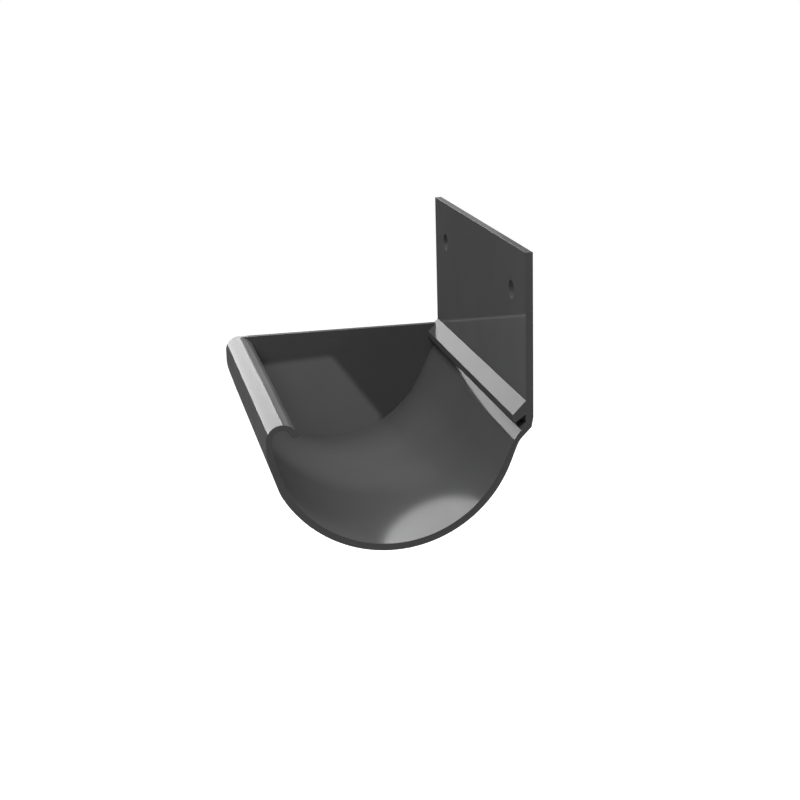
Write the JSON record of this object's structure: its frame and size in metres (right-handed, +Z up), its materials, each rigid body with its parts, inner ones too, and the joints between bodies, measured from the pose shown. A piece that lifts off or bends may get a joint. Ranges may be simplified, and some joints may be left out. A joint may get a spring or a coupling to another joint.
{
  "type": "gutter end cap",
  "caption": "Left-hand end cap for a half-round gutter: a short trough closed by a flat wall, with a rolled front bead and a back plate screwed to the fascia.",
  "frame": {"origin": "on the fascia face of the plate, midway between the two screw holes", "axes": "+X along the gutter, out of the open end; +Y into the fascia board; +Z up"},
  "size_m": [0.15, 0.1045, 0.114],
  "materials": {
    "coated_metal": "semi-gloss dark grey powder coating"
  },
  "bodies": {
    "root": {"gutter_end_cap": "coated_metal"}
  },
  "joints": []
}
